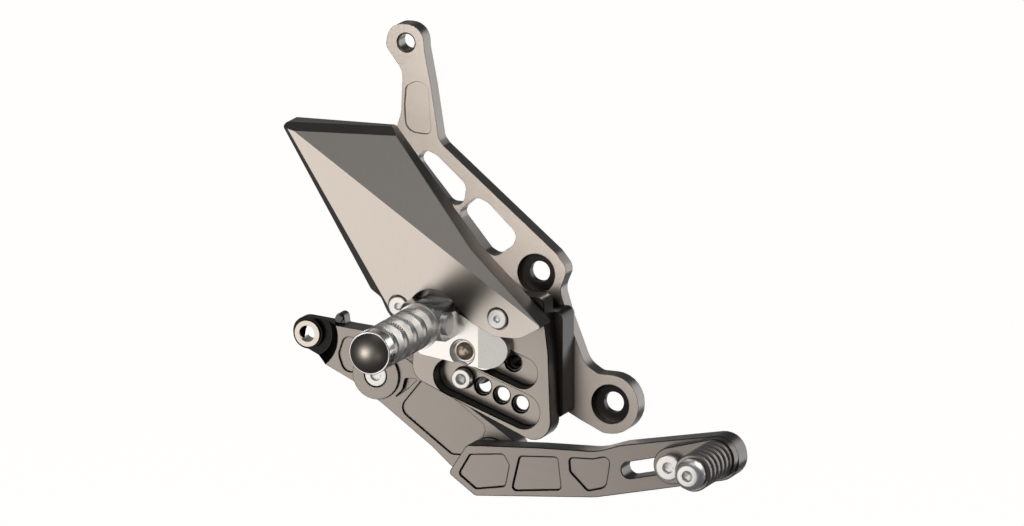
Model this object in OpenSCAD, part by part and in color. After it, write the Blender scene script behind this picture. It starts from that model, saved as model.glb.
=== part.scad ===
// Right-hand rear set of a motorcycle: a billet bracket that bolts to the frame, an adjuster
// plate with rows of position holes, a folding foot peg, a creased heel guard and a brake
// lever in two parts with an adjustable toe peg.
// X points to the front of the machine, Z up, and the outboard side faces -Y.
// The origin is the lower frame bolt hole, on the face that lies against the frame.

/* [Frame bracket] */
// Thickness of the bracket plate
bracket_t = 9; // [7:0.5:12]
// Radius of the eye round the lower frame bolt
eye_r = 14.8; // [13:0.1:16]
// Diameter of both frame bolt holes
frame_bolt_d = 10.4; // [8.4:0.1:12.5]
// Diameter of the recess for a frame bolt head
frame_head_d = 19.8; // [16:0.1:21]
// Depth of the recess for a frame bolt head
frame_head_depth = 5; // [2:0.5:6]
// Upper frame bolt, distance behind the lower one
upper_bolt_back = 39; // [36:0.5:42]
// Upper frame bolt, height above the lower one
upper_bolt_up = 62.3; // [60:0.5:65]
// Hole in the top tab, distance behind the lower frame bolt
tab_back = 107.7; // [105:0.1:110]
// Hole in the top tab, height above the lower frame bolt
tab_up = 172.3; // [165:0.1:180]
// Diameter of the hole in the top tab
tab_hole_d = 8.4; // [6.4:0.1:10]
// Height of the land that carries the adjuster plate
land_t = 15; // [13:0.5:18]

/* [Adjuster plate] */
// Thickness of the adjuster plate
plate_t = 12; // [10:0.5:14]
// Depth of the two windows
window_depth = 7.5; // [5:0.5:8]
// Distance from one position hole to the next
row_pitch = 10.5; // [9.5:0.1:11]
// Distance between the two rows of position holes
row_gap = 18; // [17.5:0.1:18.5]
// Slope of the rows of holes, downwards to the front
row_slope = 20; // [18:0.5:22]
// Diameter of a position hole
position_hole_d = 7.2; // [6.4:0.1:7.6]
// Number of position holes in a row
position_count = 4; // [3:1:4]

/* [Heel guard] */
// Tip of the guard, distance behind the lower frame bolt
guard_back = 153.5; // [148:0.5:158]
// Tip of the guard, height above the lower frame bolt
guard_up = 136.2; // [130:0.2:142]
// Height of the crease above the front face of the adjuster plate
crease_h = 16; // [14:0.5:18]
// Slope of the lower facet away from the crease
lower_facet_slope = 10; // [6:0.5:12]
// Slope of the upper facet away from the crease
upper_facet_slope = 13; // [6:0.5:14]
// Wall of the guard behind its facets
guard_wall = 3; // [2.5:0.1:4]

/* [Foot peg] */
// Thickness of the peg mount where it lies on the plate
mount_t = 10; // [9:0.5:12]
// Distance from the face of the mount to the hinge pin
pin_out = 11; // [11:0.1:13]
// Diameter of the hinge pin
pin_d = 8; // [6:0.1:8.4]
// Width of the tongue between the two cheeks
tongue_w = 12; // [10:0.1:13]
// Thickness of a cheek
cheek_t = 4.8; // [4.5:0.1:5]
// Diameter of the barrel over its bands
barrel_d = 21.4; // [20:0.1:22]
// Length of the barrel
barrel_len = 60; // [50:1:70]
// Number of grip bands on the barrel
band_count = 5; // [4:1:6]
// Depth of the grooves between the bands
groove_depth = 1.5; // [1:0.1:2.2]

/* [Brake lever] */
// Thickness of the lever crank
crank_t = 12; // [11:0.5:12.5]
// Diameter of the pivot shoulder
pivot_d = 9; // [8:0.1:9.4]
// Radius of the boss round the pivot
boss_r = 12.2; // [11.5:0.1:13]
// Diameter of the hole for the pushrod pin
pushrod_d = 8.2; // [6:0.1:9]
// Pushrod eye, distance behind the lower frame bolt
pushrod_back = 156.5; // [152:0.5:160]
// Toe peg, distance in front of the lower frame bolt
toe_forward = 67.3; // [64:0.1:75]
// Thickness of the toe arm
arm_t = 12; // [10:0.5:14]
// Width of the slot in the toe arm
slot_w = 8.2; // [8.2:0.1:9]
// Length of the slot between the centres of its ends
slot_len = 33; // [26:1:35]
// Diameter of the toe peg over its ribs
toe_peg_d = 18.6; // [16:0.1:19.5]
// Length of the toe peg
toe_peg_len = 32; // [26:1:36]
// Number of ribs on the toe peg
rib_count = 6; // [4:1:7]

/* [Hidden] */
$fn = 64;
eps = 0.01;
run_gap = 0.05;
fit_gap = 0.15;
arc_steps = 7;

// Levels above the mounting face, counted outboard.
land_front = bracket_t + land_t;
plate_front = land_front + plate_t;
window_floor = plate_front - window_depth;
mount_front = plate_front + mount_t;
pin_level = mount_front + pin_out;
lever_gap = 1;
crank_back = bracket_t + lever_gap;
crank_front = crank_back + crank_t;
arm_back = crank_front + 1;
arm_front = arm_back + arm_t;

// Places in the plane of the bracket, as [forward, up].
lower_bolt = [0, 0];
upper_bolt = [-upper_bolt_back, upper_bolt_up];
tab_eye = [-tab_back, tab_up];
peg_at = [-77.9, 45];
pivot_at = [-118.3, 7.2];
pushrod_at = [-pushrod_back, 23.9];
arm_joint = [-58, -29];
toe_end_r = 10.6;
row_dir = [cos(row_slope), -sin(row_slope)];
row_up = [sin(row_slope), cos(row_slope)];
lower_first = [-69.1, 11.7];
upper_first = lower_first + row_gap * row_up - row_pitch * row_dir;
lower_window_r = 8.8;
upper_window_r = 7.9;
window_end = 4.6;
recess_depth = 1.4;
guard_screw_at = [[-42.6, 48.3], [-97, 48.7]];
toe_slope = 13.3;
toe_dir = [cos(toe_slope), sin(toe_slope)];
toe_peg_at = [toe_forward, -14.3];
block_len = 23.5;
slot_ahead = 8.2;
block_screw_at = toe_peg_at - block_len * toe_dir;
slot_start = block_screw_at - (slot_len - slot_ahead) * toe_dir;

// Fasteners: hole, head radius and head height of the two screw sizes used.
m6_r = 3;
m6_clear_r = 3.3;
m6_head_r = 5;
m6_head_h = 6;
m6_button_r = 5.25;
m6_button_h = 3.2;
m8_r = 4;
m8_clear_r = 4.1;
m8_head_r = 6.5;
m8_head_h = 4.2;

black = [0.12, 0.115, 0.11];
silver = [0.85, 0.85, 0.84];
steel = [0.7, 0.7, 0.69];
bronze = [0.66, 0.52, 0.38];

function unit(v) = v / norm(v);

// One corner of an outline, given as [x, z, radius], as the points of its arc.
function corner(a, p, b) =
    p[2] == 0 ? [[p[0], p[1]]] :
    let (
        at = [p[0], p[1]],
        ua = unit([a[0], a[1]] - at),
        ub = unit([b[0], b[1]] - at),
        half = acos(ua * ub) / 2,
        middle = at + unit(ua + ub) * p[2] / sin(half),
        begin = at + ua * p[2] / tan(half) - middle,
        to = at + ub * p[2] / tan(half) - middle,
        start = atan2(begin[1], begin[0]),
        raw = atan2(to[1], to[0]) - start,
        turn = raw > 180 ? raw - 360 : raw < -180 ? raw + 360 : raw
    )
    [for (i = [0 : arc_steps]) middle + p[2] * [cos(start + turn * i / arc_steps),
        sin(start + turn * i / arc_steps)]];

// An outline whose corners are rounded to their own radii.
function rounded(pts) = [for (i = [0 : len(pts) - 1])
    each corner(pts[(i + len(pts) - 1) % len(pts)], pts[i], pts[(i + 1) % len(pts)])];

// Whatever is drawn in the plane, raised outboard from a level.
module raised(level, height)
    translate([0, -level, 0])
        rotate([90, 0, 0])
            linear_extrude(height)
                children();

// A round bar or hole across the bracket.
module round_bar(at, level, height, r, r2 = -1)
    translate([at[0], -level, at[1]])
        rotate([90, 0, 0])
            cylinder(h = height, r1 = r, r2 = r2 < 0 ? r : r2);

// A round bar or hole along X, at a height and a level.
module cross_bar(x, length, level, up, r)
    translate([x, -level, up])
        rotate([0, 90, 0])
            cylinder(h = length, r = r);

// Two discs joined by their tangents, as one outline.
function link_points(a, ra, b, rb) =
    let (
        along = atan2(b[1] - a[1], b[0] - a[0]),
        lean = acos((ra - rb) / norm(b - a)),
        n = 3 * arc_steps
    )
    [for (i = [0 : n]) b + rb * [cos(along - lean + 2 * lean * i / n),
        sin(along - lean + 2 * lean * i / n)],
    for (i = [0 : n]) a + ra * [cos(along + lean + (360 - 2 * lean) * i / n),
        sin(along + lean + (360 - 2 * lean) * i / n)]];

module link(a, ra, b, rb)
    polygon(link_points(a, ra, b, rb));

// Hexagon socket cut into a head from outboard.
module socket(at, front, across, depth)
    translate([at[0], -front + depth, at[1]])
        rotate([90, 0, 0])
            cylinder(h = depth + 1, d = across / cos(30), $fn = 6);

// Cap screw whose head ends at the front level and whose shank starts at the back level.
module cap_screw(at, back, front, r, head_r, head_h)
    difference() {
        union() {
            round_bar(at, back, front - back - head_h + eps, r);
            round_bar(at, front - head_h, head_h, head_r);
        }
        socket(at, front, head_r * 0.93, head_h * 0.6);
    }

// Button screw with a domed head seated at a level.
module button_screw(at, back, seat, r, head_r, head_h)
    difference() {
        union() {
            round_bar(at, back, seat - back + eps, r);
            translate([at[0], -seat, at[1]])
                rotate([90, 0, 0])
                    rotate_extrude()
                        polygon([[0, 0], [head_r, 0], [head_r, head_h * 0.25],
                            for (i = [0 : 5]) [head_r * (0.96 - 0.1 * i),
                                head_h * (1 - 0.62 * pow(1 - i / 5, 2))],
                            [0, head_h]]);
        }
        socket(at, seat + head_h, head_r * 0.7, head_h * 0.7);
    }

// A corner of an outline, placed from a point that it keeps to.
function from(at, x, z, r) = [at[0] + x, at[1] + z, r];

function position(first, i) = first + i * row_pitch * row_dir;

// Window round a row of holes.
module window(first, r, back_end, front_end)
    link(first - back_end * row_dir, r,
        position(first, position_count - 1) + front_end * row_dir, r);

bracket_outline = [[eye_r, -eye_r, eye_r - 0.4], [-3.5, -eye_r, 4], [-15.1, -9.5, 8],
    [-22.8, -5.6, 3], [-41, 7.5, 8], [-72, 19, 8], [-86, 26, 8], [-84, 45, 10], [-65, 55, 8],
    [-71, 68, 12], [-107.5, 109, 16], [-113.6, 127, 8], [-110.4, 137, 20],
    from(tab_eye, -1.9, -14.3, 8), from(tab_eye, -10.9, -2.3, 5), from(tab_eye, -8.7, 9.3, 8.4),
    from(tab_eye, 9.1, 9.3, 9), from(tab_eye, 9.5, -2.3, 12), from(tab_eye, 13.2, -21.3, 30),
    [-90.5, 125.4, 6], [-88, 122.2, 3], [-28.6, 73.3, 13], [-22.4, 65.6, 6],
    [-26.6, 55.5, 9], [-22.5, 42, 30], [-13.4, 19, 12], [-6.5, eye_r, 5],
    [eye_r, eye_r, eye_r - 0.4]];
land_outline = [[-19, 48, 4], [-19, -5.2, 2], [-24.5, -4.4, 3], [-40.5, 8, 6], [-66, 17.6, 4],
    [-81.5, 27, 6], [-81.5, 44, 6]];
slot_one = [[-97.5, 119.8, 4.5], [-91.2, 117, 4.5], [-75.9, 103.7, 5], [-77.3, 93.4, 4.5],
    [-85.8, 93.2, 5], [-103.3, 113.6, 3.5]];
slot_two = [[-70.5, 98.3, 5], [-64.3, 95.5, 4.5], [-48.8, 81, 5], [-51.5, 75.2, 4],
    [-60.6, 68.7, 4.5], [-65.6, 71.3, 4.5], [-80.7, 89.4, 4]];
tab_pocket = [from(tab_eye, 5.8, -18.3, 5), from(tab_eye, -0.3, -21.8, 3), [-108.8, 141, 8],
    [-108, 128, 6], [-94.4, 127, 3], from(tab_eye, 11.5, -21.3, 4)];
// The lever's upper edge rests on a sleeve that stands beside it.
beam_slope = 32.6;
beam_edge_at = [-62.8, -8.5];
beam_back = [-cos(beam_slope), sin(beam_slope)];
beam_out = [sin(beam_slope), cos(beam_slope)];
stop_sleeve_r = 4.6;
stop_at = beam_edge_at + 24.5 * beam_back + (stop_sleeve_r + fit_gap) * beam_out;
pillar_r = 6.6;

module frame_bracket()
    color(black)
        difference() {
            union() {
                raised(0, bracket_t) {
                    polygon(rounded(bracket_outline));
                    link([-80, 33], 9, pivot_at, 10.5);
                    link(lower_first, pillar_r + 1, [-76, 28], 9);
                    link(stop_at, 5.6, [-88, 26], 9);
                }
                raised(bracket_t - 1, land_t + 1)
                    polygon(rounded(land_outline));
                round_bar(lower_first, bracket_t - 1, land_t + 1, pillar_r);
            }
            raised(-1, bracket_t + 2) {
                polygon(rounded(slot_one));
                polygon(rounded(slot_two));
            }
            raised(bracket_t - 1.2, 2)
                polygon(rounded(tab_pocket));
            for (at = [lower_bolt, upper_bolt]) {
                round_bar(at, -1, bracket_t + 2, frame_bolt_d / 2);
                round_bar(at, bracket_t - frame_head_depth, land_t + frame_head_depth + 1,
                    frame_head_d / 2);
            }
            round_bar(tab_eye, -1, bracket_t + 2, tab_hole_d / 2);
            round_bar(tab_eye, bracket_t - 0.8, 0.81, tab_hole_d / 2, tab_hole_d / 2 + 0.8);
            round_bar(pivot_at, -1, bracket_t + 2, m8_r);
            round_bar(stop_at, -1, bracket_t + 2, m6_r);
            round_bar(lower_first, 6, land_front, m6_r);
            for (i = [0 : position_count - 1])
                round_bar(position(upper_first, i), 6, land_front, i == 1 ? m8_r : m6_r);
        }

plate_outline = [[-24, 57, 4], [-104.2, 57.2, 8.4], [-104.2, 43, 8], [-92.8, 31, 14],
    [-93.9, 11.7, 9], [-20, -19.8, 9.5], [-21.9, 29, 40], [-24, 46, 20]];

module adjuster_plate()
    color(black)
        difference() {
            raised(land_front, plate_t)
                polygon(rounded(plate_outline));
            raised(window_floor, window_depth + 1) {
                window(lower_first, lower_window_r, window_end, window_end);
                window(upper_first, upper_window_r, window_end, window_end + 3.6);
            }
            round_bar(lower_first, window_floor - recess_depth, recess_depth + 1,
                m6_head_r + 0.3);
            for (i = [0 : position_count - 1]) {
                for (first = [lower_first, upper_first])
                    round_bar(position(first, i), window_floor - recess_depth, recess_depth + 1,
                        position_hole_d / 2 + 0.9);
                round_bar(position(lower_first, i), land_front - 1, plate_t,
                    position_hole_d / 2);
                round_bar(position(upper_first, i), land_front - 1, plate_t,
                    i == 1 ? m8_clear_r : position_hole_d / 2);
            }
            for (at = guard_screw_at)
                round_bar(at, land_front - 1, plate_t + 2, m6_r);
        }

module plate_screw()
    color(silver)
        cap_screw(lower_first, 8, window_floor + m6_head_h - recess_depth, m6_r - run_gap,
            m6_head_r, m6_head_h);

// The crease runs from the tip of the guard down to its front corner.
guard_tip = [-guard_back, guard_up];
guard_nose = [-19.8, 46.6];
crease_level = plate_front + crease_h;
crease_angle = atan2(guard_tip[1] - guard_nose[1], guard_nose[0] - guard_tip[0]);
arch_r = 14.4;
guard_rise = 2;
guard_top = [-101, guard_up + 1.5];
guard_outline = [from(guard_tip, -2.4, -1.8, 1.5), from(guard_tip, -0.5, 1, 1.5),
    from(guard_top, 0, 0, 2.5), [-56.8, 81.6, 0], [-19, 46.2, 1.5], [-31.5, 39, 12],
    [-45.5, 38.6, 10], [-58, 44.8, 8], [-65, 51.8, 0], [-77.9, 50, 0], [-91, 50, 0],
    [-90, 41, 4], [-103.5, 40.4, 8], [-107.2, 51.8, 3], [-114, 54.5, 3], [-131.4, 87.5, 0]];

// Level of the guard's front at a place, on the facet that lies there.
function crease_distance(at) = (guard_tip[1] - at[1]) * cos(crease_angle)
    - (at[0] - guard_tip[0]) * sin(crease_angle);
function facet_level(at) = let (d = crease_distance(at))
    crease_level - (d > 0 ? d * tan(lower_facet_slope) : -d * tan(upper_facet_slope));
function guard_seat(at) = facet_level(at) - 1.6;

// Everything on the outboard side of a plane that holds the line from p to q and falls
// away on the left of it.
module outboard_of(p, p_level, q, q_level, fall) {
    outside = [300, 60, 150];
    along = q - p;
    translate([p[0], -p_level, p[1]])
        rotate([0, -atan2(along[1], along[0]), 0])
            rotate([0, 0, atan2(p_level - q_level, norm(along))])
                rotate([-fall, 0, 0])
                    translate([-60, -60, -30])
                        cube(outside);
}

module guard_form(drop)
    difference() {
        raised(plate_front + guard_rise, crease_h + 1)
            children();
        outboard_of(guard_nose, crease_level - drop, guard_tip, crease_level - drop,
            lower_facet_slope);
        outboard_of(guard_tip, crease_level - drop, guard_nose, crease_level - drop,
            upper_facet_slope);
    }

// Inner lines of the bevels along the rear and top edges.
rear_bevel = [[-107, 55], guard_tip + [0.9, -2.2]];
top_bevel = [guard_tip + [3.5, -2.6], guard_top - [0, 3.9]];

module edge_bevel(line, fall)
    outboard_of(line[0], facet_level(line[0]), line[1], facet_level(line[1]), fall);

guard_pocket = [from(guard_tip, 2.5, -4.7, 2), from(guard_top, -1.6, -4.1, 3), [-60, 79.5, 0],
    [-33, 53.5, 3], [-54, 60, 6], [-62, 63, 4], [-94, 63, 4], [-111, 60.5, 3], [-127.5, 89.5, 0]];

module heel_guard()
    color(black)
        difference() {
            union() {
                difference() {
                    guard_form(0)
                        polygon(rounded(guard_outline));
                    edge_bevel(rear_bevel, 42);
                    edge_bevel(top_bevel, 38);
                    translate([0, 1, 0])
                        guard_form(guard_wall - 1)
                            polygon(rounded(guard_pocket));
                }
                for (at = guard_screw_at)
                    round_bar(at, plate_front, guard_rise + 1, 7.2);
            }
            round_bar(peg_at, plate_front, crease_h + 4, arch_r);
            for (at = guard_screw_at) {
                round_bar(at, plate_front - 1, crease_h + 4, m6_clear_r);
                round_bar(at, guard_seat(at), crease_h, m6_button_r + 0.5);
            }
        }

module guard_screws()
    color(silver)
        for (at = guard_screw_at)
            button_screw(at, land_front + 1, guard_seat(at), m6_r - run_gap, m6_button_r,
                m6_button_h);

mount_end = [-50.4, 29.9];
mount_end_r = 8.8;
mount_point = [-84.2, 28];
mount_bolt_at = position(upper_first, 1);
mount_head_r = 5.6;
mount_bolt_seat = mount_front - 4.6;
mount_fall = 24;
cheek_r = 8.8;
cheek_x = tongue_w / 2 + fit_gap;

// Outline of a cheek or tongue, seen along the hinge pin: its depth is counted inboard.
module hinge_profile(x, width, r, back, foot_up, foot_down)
    translate([peg_at[0] + x, 0, 0])
        rotate([90, 0, 90])
            linear_extrude(width) {
                translate([-pin_level, peg_at[1]])
                    circle(r);
                translate([-pin_level, peg_at[1] - foot_down])
                    square([back, foot_up + foot_down]);
            }

module peg_mount()
    color(silver)
        difference() {
            union() {
                raised(plate_front, mount_t) {
                    polygon(rounded([for (q = [[-1, 1], [1, 1], [1, -1], [-1, -1]])
                        [peg_at[0] + q[0] * (cheek_x + cheek_t), peg_at[1] + q[1] * cheek_r,
                            5]]));
                    link(peg_at, cheek_r, mount_end, mount_end_r);
                    link(mount_point, 2.2, mount_end, mount_end_r);
                    polygon([mount_point + [-2.2, 0.2], peg_at + [-cheek_x - cheek_t, -2],
                        peg_at, mount_bolt_at]);
                }
                raised(window_floor + fit_gap, window_depth)
                    window_key();
                for (x = [cheek_x, -cheek_x - cheek_t])
                    hinge_profile(x, cheek_t, cheek_r, pin_out + 1, cheek_r, cheek_r);
            }
            round_bar(mount_bolt_at, window_floor - 1, mount_t + window_depth + 2, m8_clear_r);
            round_bar(mount_bolt_at, mount_bolt_seat, mount_t, mount_head_r + 0.6);
            round_bar(mount_bolt_at, mount_front - 0.6, 0.61, mount_head_r + 0.6,
                mount_head_r + 1.2);
            mount_ramp();
            cross_bar(peg_at[0] - 20, 40, pin_level, peg_at[1], pin_d / 2 + run_gap);
        }

// The end of the mount falls away from the flat round its bolt.
module mount_ramp()
    translate([mount_bolt_at[0] + mount_head_r + 2.6, -mount_front, mount_bolt_at[1] - 30])
        rotate([0, 0, mount_fall])
            translate([0, -20, 0])
                cube([40, 20, 60]);

// Key of the mount, which slides in the upper window of the plate.
module window_key()
    link(position(upper_first, 0.4), upper_window_r - fit_gap, position(upper_first, 1.7),
        upper_window_r - fit_gap);

module mount_bolt()
    color(silver)
        button_screw(mount_bolt_at, 8, mount_bolt_seat, m8_r - run_gap, mount_head_r, 4.4);

pin_head_r = 5.6;
pin_left = peg_at[0] - cheek_x - cheek_t - 2.4;
pin_right = peg_at[0] + cheek_x + cheek_t;

module hinge_pin()
    color(steel)
        difference() {
            union() {
                cross_bar(pin_left, pin_right - pin_left + eps, pin_level, peg_at[1], pin_d / 2);
                cross_bar(pin_right, 1.8, pin_level, peg_at[1], pin_head_r);
            }
            translate([pin_left + 0.9, -pin_level, peg_at[1]])
                rotate([0, 90, 0])
                    difference() {
                        cylinder(h = 1.1, r = pin_d);
                        translate([0, 0, -1])
                            cylinder(h = 4, r = pin_d / 2 - 0.6);
                    }
        }

module hinge_circlip()
    color(steel)
        translate([pin_left + 0.95, -pin_level, peg_at[1]])
            rotate([0, 90, 0])
                difference() {
                    cylinder(h = 1, r = pin_d / 2 + 1.8);
                    translate([0, 0, -1])
                        cylinder(h = 3, r = pin_d / 2 - 0.55);
                    translate([0, -2, -1])
                        cube([pin_d, 4, 3]);
                }

// The peg, from the pin outboard.
barrel_back = pin_level + 11.2;
barrel_front = barrel_back + barrel_len;
core_r = 6;
collar_t = 1.9;
collar_r = 11.4;
spring_wire_r = 0.65;
spring_bore_r = 6.4;
spring_bore_w = 4.6;

module peg_tongue()
    color(silver)
        difference() {
            union() {
                hinge_profile(-tongue_w / 2, tongue_w, 8.6, 1, 4, 8.6);
                translate([0, -2 * pin_level, 0])
                    hinge_flat();
                hinge_heel();
                round_bar(peg_at, barrel_back - collar_t, collar_t, collar_r);
                round_bar(peg_at, barrel_back - eps, 14, core_r);
            }
            cross_bar(peg_at[0] - 20, 40, pin_level, peg_at[1], pin_d / 2 + run_gap);
            cross_bar(peg_at[0] - tongue_w / 2 - 1, spring_bore_w + 1, pin_level, peg_at[1],
                spring_bore_r);
            round_bar(peg_at, barrel_back - 2, 20, m6_r);
        }

// Neck of the tongue that reaches from the pin to the collar.
module hinge_flat()
    translate([peg_at[0] - tongue_w / 2, pin_level - (barrel_back - pin_level) + 1,
        peg_at[1] - 8.6])
        cube([tongue_w, barrel_back - pin_level - 1, 17.2]);

// Heel that bears on the mount when the peg is down.
module hinge_heel()
    translate([peg_at[0] - tongue_w / 2, -pin_level, peg_at[1] - 8.6])
        cube([tongue_w, pin_out - fit_gap, 4.4]);

band_pitch = barrel_len / band_count;
band_share = 0.66;

module peg_barrel()
    color(silver)
        translate([peg_at[0], -barrel_back, peg_at[1]])
            rotate([90, 0, 0])
                difference() {
                    union() {
                        cylinder(h = barrel_len, r = barrel_d / 2 - groove_depth);
                        for (i = [0 : band_count - 1])
                            translate([0, 0, (i + 1 - band_share) * band_pitch])
                                barrel_band();
                    }
                    translate([0, 0, -1])
                        cylinder(h = 15.2, r = core_r + run_gap);
                    translate([0, 0, 10])
                        cylinder(h = barrel_len, r = m6_clear_r);
                    translate([0, 0, barrel_len - 8])
                        cylinder(h = 9, r = 7);
                }

// One raised band with chamfered shoulders.
module barrel_band() {
    wide = band_pitch * band_share;
    bevel_h = 0.8;
    r = barrel_d / 2;
    cylinder(h = bevel_h, r1 = r - bevel_h, r2 = r);
    translate([0, 0, bevel_h - eps])
        cylinder(h = wide - 2 * bevel_h + 2 * eps, r = r);
    translate([0, 0, wide - bevel_h])
        cylinder(h = bevel_h, r1 = r, r2 = r - bevel_h);
}

module peg_bolt()
    color(steel)
        cap_screw(peg_at, barrel_back + 0.5, barrel_front - 8 + m6_head_h, m6_r - run_gap,
            m6_head_r, m6_head_h);

cap_rim = 1.6;
cap_r = barrel_d / 2 - 0.85;
cap_dome = 4.6;

module peg_cap()
    color(black)
        translate([peg_at[0], -barrel_front + 1.6, peg_at[1]])
            rotate([90, 0, 0])
                rotate_extrude()
                    polygon([[0, 0], [6.9, 0], [6.9, cap_rim], [cap_r, cap_rim],
                        [cap_r, cap_rim + 0.8],
                        for (i = [1 : 8]) [cap_r * cos(i * 90 / 9),
                            cap_rim + 0.8 + cap_dome * sin(i * 90 / 9)],
                        [0, cap_rim + 0.8 + cap_dome]]);

// Points of a coil spring's wire, and the skin of a tube swept along them.
coil_sides = 8;
coil_steps = 16;
function coil_ring(r, wire, rise, turns, i) =
    let (a = i * 360 / coil_steps, z = rise * i / (turns * coil_steps))
    [for (k = [0 : coil_sides - 1])
        let (b = k * 360 / coil_sides)
        [(r + wire * cos(b)) * cos(a), (r + wire * cos(b)) * sin(a), z + wire * sin(b)]];

module coil(r, wire, rise, turns) {
    rings = turns * coil_steps;
    polyhedron(
        points = [for (i = [0 : rings]) each coil_ring(r, wire, rise, turns, i)],
        faces = [
            [for (k = [coil_sides - 1 : -1 : 0]) k],
            [for (k = [0 : coil_sides - 1]) rings * coil_sides + k],
            for (i = [0 : rings - 1], k = [0 : coil_sides - 1])
                let (a = i * coil_sides, n = (k + 1) % coil_sides)
                [a + k, a + n, a + coil_sides + n, a + coil_sides + k]
        ]);
}

module peg_spring()
    color(steel)
        translate([peg_at[0] - tongue_w / 2 + spring_wire_r + 0.35, -pin_level, peg_at[1]])
            rotate([0, 90, 0])
                coil(5.35, spring_wire_r, 2.7, 2);

module stop_screw()
    color(steel)
        cap_screw(stop_at, 1, land_front - 1.6, m6_r - run_gap, m6_head_r - 0.6, 3);

module stop_sleeve()
    color([0.2, 0.2, 0.2])
        difference() {
            round_bar(stop_at, bracket_t, land_front - 1.6 - 3 - bracket_t, stop_sleeve_r);
            round_bar(stop_at, bracket_t - 1, land_t, m6_r + run_gap);
        }

// Pivot: a shoulder bolt screwed into the bracket, with a flanged bush round it.
boss_front = crank_front + 1.5;
pivot_head_r = 5.7;
pivot_head_h = 3;
bush_wall = 1.4;
spring_room_r = 9.6;
spring_room_h = 6;

module pivot_bolt()
    color(silver)
        difference() {
            union() {
                round_bar(pivot_at, 1, bracket_t - 1 + eps, m8_r - run_gap);
                round_bar(pivot_at, bracket_t, boss_front - pivot_head_h - bracket_t + eps,
                    pivot_d / 2);
                round_bar(pivot_at, boss_front - pivot_head_h, pivot_head_h, pivot_head_r);
            }
            socket(pivot_at, boss_front, 5, 2);
        }

module pivot_bush()
    color(bronze)
        difference() {
            round_bar(pivot_at, crank_back, boss_front - pivot_head_h - fit_gap - crank_back,
                pivot_d / 2 + bush_wall);
            round_bar(pivot_at, crank_back - 1, crank_t + 4, pivot_d / 2 + run_gap);
        }

module return_spring()
    color(steel)
        translate([pivot_at[0], -crank_back - 1, pivot_at[1]])
            rotate([90, 0, 0])
                coil(7.7, 0.8, 4, 2);

crank_outline = [from(pushrod_at, -8.5, 8.5, 7.5), [-131.2, 29.4, 12], [-113, 28, 10],
    [-104, 17.7, 10], [-43.4, -20.9, 6], [-40, -36, 8], [-77.6, -36.4, 6], [-89.1, -26.3, 0],
    [-115.4, -7.1, 25], [-131.2, 3.1, 20], from(pushrod_at, -9.1, -4.5, 7.5)];
crank_pocket = [[-92, 9.6, 3], [-106.8, -9, 5], [-78.6, -29.4, 3],
    [-66, -29, 3], [-60, -14, 4]];
crank_side_pocket = [[-135.5, 25.5, 4], [-138.8, 15.6, 6], [-135.4, 6.3, 5], [-128, 8, 2],
    [-127, 24, 3]];
boss_relief = [[-110.6, -5, 0.2], [-104.8, 0.4, 6], [-103.2, 6.8, 1], [-96.6, 6.8, 0.4],
    [-101.6, 1.7, 6]];
scoop_r = 17.5;
stud_at = [-139.8, 32.8];
lug_t = 6;
lug_front = crank_back + lug_t;

module lever_crank()
    color(black)
        difference() {
            union() {
                raised(crank_back, crank_t)
                    polygon(rounded(crank_outline));
                round_bar(pivot_at, crank_back, boss_front - crank_back, boss_r);
                round_bar(arm_joint, crank_back, arm_back - crank_back, 10);
                raised(crank_back, 7)
                    link(stud_at, 2.4, stud_at - [0, 5], 3);
            }
            difference() {
                round_bar(pushrod_at, lug_front, crank_t - lug_t + eps, 12, scoop_r);
                round_bar(pushrod_at, lug_front - 1, 3.4, 7.8);
            }
            difference() {
                raised(crank_front - 2.6, 4)
                    polygon(rounded(boss_relief));
                round_bar(pivot_at, crank_back, 2 * crank_t, boss_r);
            }
            raised(crank_front - 1, 2)
                polygon(rounded(crank_pocket));
            raised(crank_front - 1, 2)
                polygon(rounded(crank_side_pocket));
            round_bar(pivot_at, crank_back - 1, crank_t + 3, pivot_d / 2 + bush_wall);
            round_bar(pivot_at, crank_back - 1, spring_room_h + 1, spring_room_r);
            round_bar(pivot_at, boss_front - pivot_head_h - fit_gap, 5, pivot_head_r + 0.3);
            round_bar(pushrod_at, crank_back - 1, crank_t + 2, pushrod_d / 2 + bush_wall);
            for (at = arm_screw_at) {
                round_bar(at, crank_back - 1, crank_t + 3, m6_clear_r);
                round_bar(at, crank_back - 1, m6_button_h + 1.4, m6_button_r + 0.4);
            }
            round_bar(stud_at, crank_back - 1, 9, 1.2);
        }

module spring_stud()
    color(black) {
        round_bar(stud_at, crank_back + 1, 8, 1.2 - run_gap / 2);
        round_bar(stud_at, crank_back + 7, 2, 1.9);
    }

module pushrod_bush()
    color(bronze)
        difference() {
            union() {
                round_bar(pushrod_at, crank_back, lug_t + 3.4, pushrod_d / 2 + bush_wall);
                round_bar(pushrod_at, lug_front + 2.4, 1, pushrod_d / 2 + bush_wall + 1.1);
            }
            round_bar(pushrod_at, crank_back - 1, lug_t + 6, pushrod_d / 2);
        }

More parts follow.
